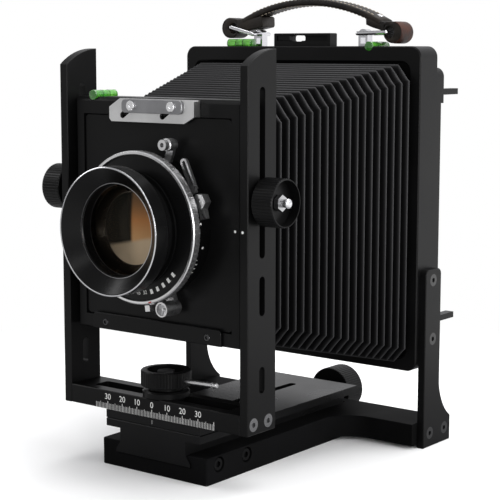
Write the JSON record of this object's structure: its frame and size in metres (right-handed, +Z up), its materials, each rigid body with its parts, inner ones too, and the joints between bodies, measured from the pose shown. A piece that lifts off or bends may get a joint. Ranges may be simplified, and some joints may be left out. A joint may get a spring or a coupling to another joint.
{
  "type": "large format view camera",
  "caption": "Folding-bed style view camera with bellows, shutter and lens, a sliding and tilting front standard, and a square reversible back.",
  "frame": {"origin": "mouth of the tripod socket, in the base's underside", "axes": "+Z up, -Y is the way the lens looks, +X is the viewer's right when facing the lens"},
  "size_m": [0.1666, 0.204, 0.2404],
  "materials": {
    "black_anodised": "black anodised satin",
    "knob_black": "black anodised, ribbed",
    "steel": "turned steel",
    "screw_steel": "machined steel",
    "brass": "turned brass",
    "chrome": "polished plating",
    "bright_aluminium": "satin bright",
    "grey_cover": "grey anodised",
    "level_vial": "clear green",
    "leather": "dark brown, stitched",
    "bellows_cloth": "matte coated cloth",
    "shutter_black": "black satin",
    "coated_glass": "coated optical glass",
    "ground_glass": "ground on its front"
  },
  "bodies": {
    "base": {"base_block": "black_anodised", "tripod_bush": "brass", "gib_screws": "screw_steel", "screw_bearing": "black_anodised", "upright_left": "black_anodised", "upright_right": "black_anodised", "upright_screws": "screw_steel", "rear_frame": "black_anodised", "frame_levels": "level_vial", "bellows_rear_ring": "black_anodised", "bellows": "bellows_cloth", "latch_bracket": "black_anodised", "handle_posts": "chrome", "back_board": "black_anodised", "panel_springs": "screw_steel"},
    "latch": {"latch_bar": "black_anodised"},
    "lock_top": {"holder_lock_top": "black_anodised"},
    "lock_bottom": {"holder_lock_bottom": "black_anodised"},
    "panel": {"panel_frame": "black_anodised", "ground_glass": "ground_glass"},
    "handle": {"handle_strap": "leather"},
    "ring_left": {"handle_ring_left": "chrome"},
    "ring_right": {"handle_ring_right": "chrome"},
    "rail": {"focus_rail": "black_anodised", "carriage_plate": "black_anodised", "lead_nut": "brass", "clamp_stud": "steel"},
    "focus_drive": {"lead_screw": "steel", "focus_knob": "knob_black"},
    "clamp": {"clamp_knob": "knob_black", "clamp_lever": "steel"},
    "pivot_block": {"slot_block": "black_anodised"},
    "standard": {"crossbar": "black_anodised", "side_plate_left": "black_anodised", "side_plate_right": "black_anodised", "standard_screws": "screw_steel"},
    "trunnions": {"trunnion_left": "steel", "trunnion_right": "steel"},
    "knob_left": {"rise_knob_left": "knob_black"},
    "knob_right": {"rise_knob_right": "knob_black"},
    "carrier": {"lens_carrier": "black_anodised", "front_level": "level_vial", "board_foot_bar": "black_anodised", "carrier_screws": "screw_steel", "lock_cover": "grey_cover", "lens_board": "black_anodised", "bellows_front_ring": "black_anodised", "shutter_case": "shutter_black", "iris_blades": "shutter_black", "cable_socket": "chrome", "sync_socket": "chrome", "front_barrel": "shutter_black", "rear_barrel": "shutter_black", "retaining_ring": "shutter_black", "lens_glass": "coated_glass"},
    "lock": {"board_lock": "bright_aluminium"},
    "speed": {"speed_ring": "bright_aluminium"},
    "aperture": {"aperture_lever": "chrome"},
    "cocking": {"cocking_lever": "chrome"},
    "release": {"release_lever": "chrome"}
  },
  "joints": [
    {"name": "focus", "type": "slide", "parent": "base", "child": "rail", "axis": [0, -1, 0], "range_m": [0, 0.06], "deforming": ["bellows"]},
    {"name": "focus_knob_turn", "type": "hinge", "parent": "base", "child": "focus_drive", "pos_m": [0, 0.06, 0.014], "axis": [0, 1, 0], "range_deg": [0, 3600]},
    {"name": "swing", "type": "hinge", "parent": "rail", "child": "pivot_block", "pos_m": [0, -0.0889, 0.0392], "axis": [0, 0, 1], "range_deg": [-12, 12]},
    {"name": "shift", "type": "slide", "parent": "pivot_block", "child": "standard", "axis": [1, 0, 0], "range_m": [-0.018, 0.03]},
    {"name": "rise", "type": "slide", "parent": "standard", "child": "trunnions", "axis": [0, 0, 1], "range_m": [-0.012, 0.04]},
    {"name": "tilt", "type": "hinge", "parent": "trunnions", "child": "carrier", "pos_m": [0, -0.0889, 0.1415], "axis": [1, 0, 0], "range_deg": [-10, 10]},
    {"name": "clamp_turn", "type": "hinge", "parent": "rail", "child": "clamp", "pos_m": [0, -0.0889, 0.0392], "axis": [0, 0, 1], "range_deg": [0, 80]},
    {"name": "rise_knob_left_turn", "type": "hinge", "parent": "trunnions", "child": "knob_left", "pos_m": [-0.0688, -0.0889, 0.1415], "axis": [-1, 0, 0], "range_deg": [0, 180]},
    {"name": "rise_knob_right_turn", "type": "hinge", "parent": "trunnions", "child": "knob_right", "pos_m": [0.0688, -0.0889, 0.1415], "axis": [1, 0, 0], "range_deg": [0, 180]},
    {"name": "board_lock_slide", "type": "slide", "parent": "carrier", "child": "lock", "axis": [0.8202, 0, 0.5721], "range_m": [0, 0.0075]},
    {"name": "speed_turn", "type": "hinge", "parent": "carrier", "child": "speed", "pos_m": [0, -0.1, 0.1265], "axis": [0, -1, 0], "range_deg": [-90, 90]},
    {"name": "aperture_turn", "type": "hinge", "parent": "carrier", "child": "aperture", "pos_m": [0, -0.1, 0.1265], "axis": [0, -1, 0], "range_deg": [-24, 0]},
    {"name": "cocking_turn", "type": "hinge", "parent": "carrier", "child": "cocking", "pos_m": [0, -0.1, 0.1265], "axis": [0, -1, 0], "range_deg": [0, 8], "stiffness_Nm_per_rad": 0.02, "springref_deg": -2.86},
    {"name": "release_turn", "type": "hinge", "parent": "carrier", "child": "release", "pos_m": [0, -0.1, 0.1265], "axis": [0, -1, 0], "range_deg": [-6, 0], "stiffness_Nm_per_rad": 0.02, "springref_deg": 2.86},
    {"name": "latch_slide", "type": "slide", "parent": "base", "child": "latch", "axis": [1, 0, 0], "range_m": [0, 0.005]},
    {"name": "holder_lock_top_slide", "type": "slide", "parent": "base", "child": "lock_top", "axis": [0, 0, 1], "range_m": [0, 0.004]},
    {"name": "holder_lock_bottom_slide", "type": "slide", "parent": "base", "child": "lock_bottom", "axis": [0, 0, -1], "range_m": [0, 0.004]},
    {"name": "panel_lift", "type": "slide", "parent": "base", "child": "panel", "axis": [0, 1, 0], "range_m": [0, 0.01], "stiffness_N_per_m": 400, "springref_m": -0.005, "deforming": ["panel_springs"]},
    {"name": "handle_lift", "type": "slide", "parent": "base", "child": "handle", "axis": [0, 0, 1], "range_m": [0, 0.004]},
    {"name": "ring_left_turn", "type": "hinge", "parent": "base", "child": "ring_left", "pos_m": [-0.035, 0.036, 0.2213], "axis": [0, 1, 0], "range_deg": [0, 14]},
    {"name": "ring_right_turn", "type": "hinge", "parent": "base", "child": "ring_right", "pos_m": [0.0362, 0.036, 0.2213], "axis": [0, -1, 0], "range_deg": [0, 12]}
  ],
  "couplings": [
    {"joint": "focus_knob_turn", "follows": "focus", "rad_per_m": 1047.2},
    {"joint": "ring_left_turn", "follows": "handle_lift", "rad_per_m": 61.087},
    {"joint": "ring_right_turn", "follows": "handle_lift", "rad_per_m": 52.36}
  ]
}
